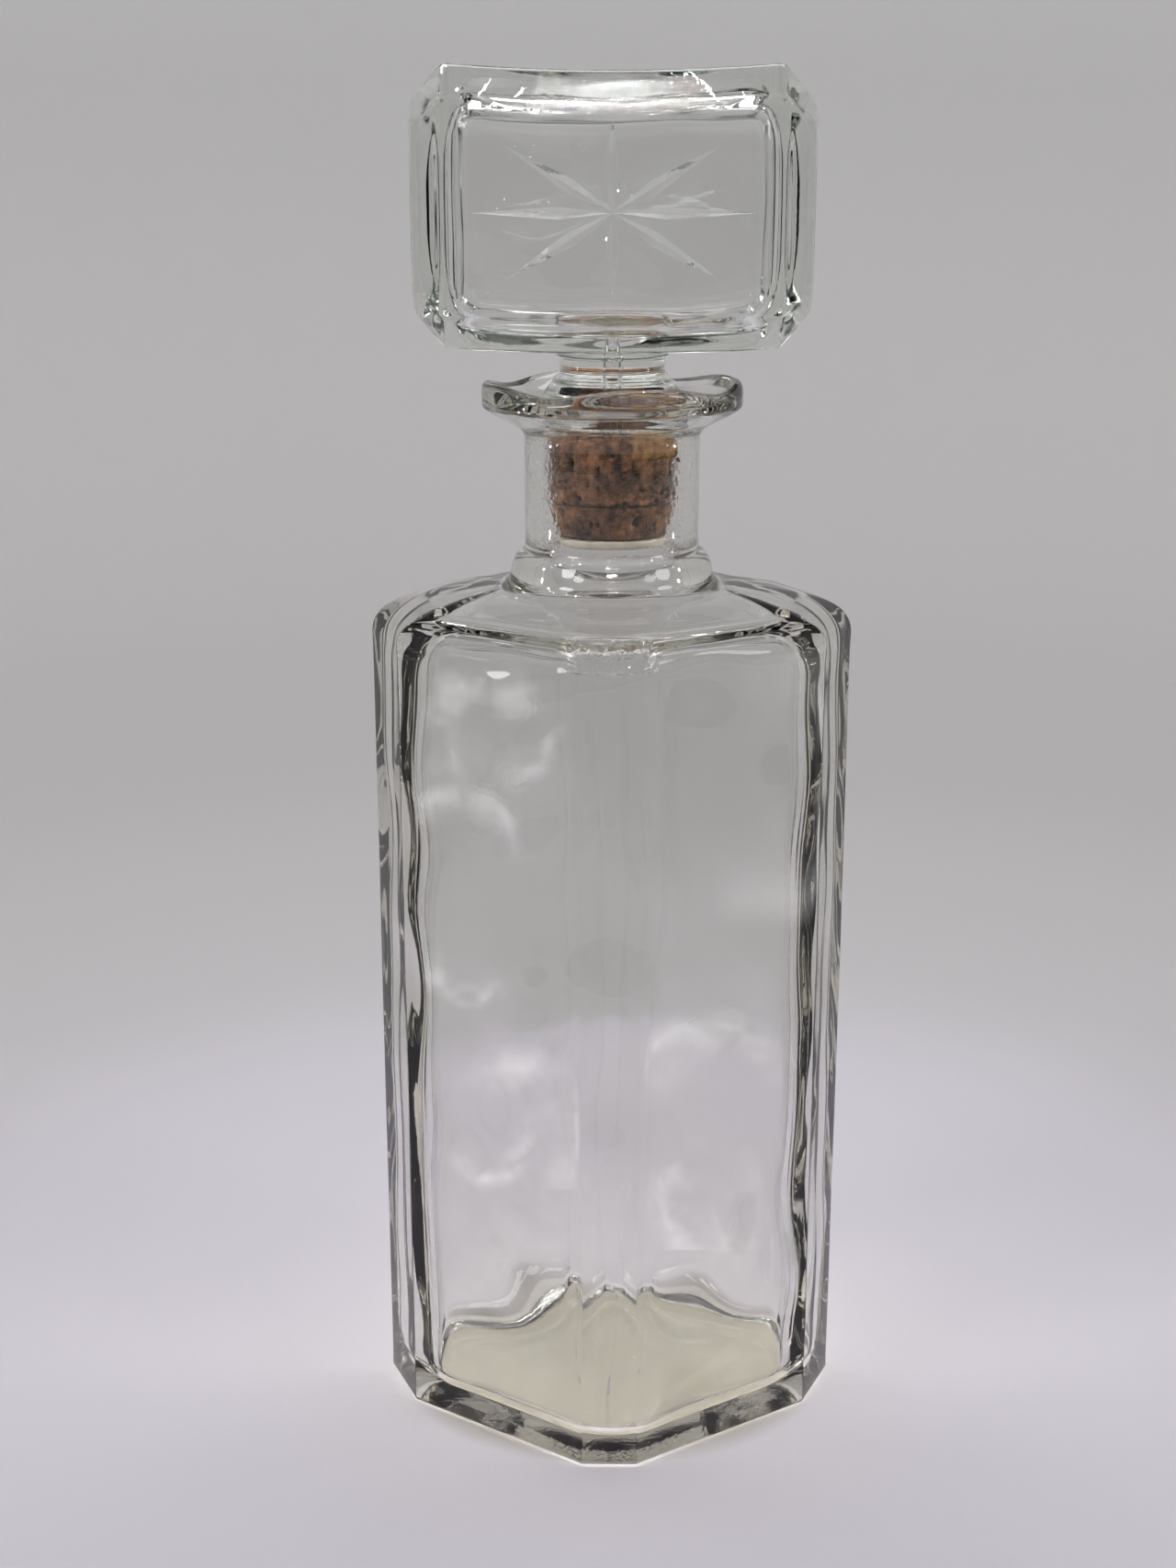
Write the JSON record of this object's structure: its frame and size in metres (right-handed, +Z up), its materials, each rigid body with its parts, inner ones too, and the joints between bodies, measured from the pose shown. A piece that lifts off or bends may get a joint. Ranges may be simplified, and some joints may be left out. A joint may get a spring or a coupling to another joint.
{
  "type": "liquor decanter",
  "caption": "Ten-sided clear glass decanter with a lobed pouring lip and a hollow block stopper, star cut in front, held by a cork sleeve.",
  "frame": {"origin": "centre of the bottle's foot, on the surface that it stands on", "axes": "+Z up through the neck, -Y towards the front with the star, +X to the right seen from the front"},
  "size_m": [0.106, 0.0832, 0.3023],
  "materials": {
    "bottle_glass": "clear moulded glass with a faint grey-green cast",
    "stopper_glass": "clear moulded glass, fire polished, cut star",
    "cork": "natural cork, liquor stained, dark pores",
    "seal_disc": "pale, slightly translucent disc"
  },
  "bodies": {
    "bottle": {"bottle": "bottle_glass"},
    "cork": {"cork_sleeve": "cork", "seal_disc": "seal_disc"},
    "stopper": {"stopper": "stopper_glass"}
  },
  "joints": [
    {"name": "stopper_lift", "type": "slide", "parent": "bottle", "child": "cork", "axis": [0, 0, 1], "range_m": [0, 0.1]},
    {"name": "stopper_turn", "type": "hinge", "parent": "cork", "child": "stopper", "pos_m": [0, 0, 0.22], "axis": [0, 0, 1], "continuous": true}
  ]
}
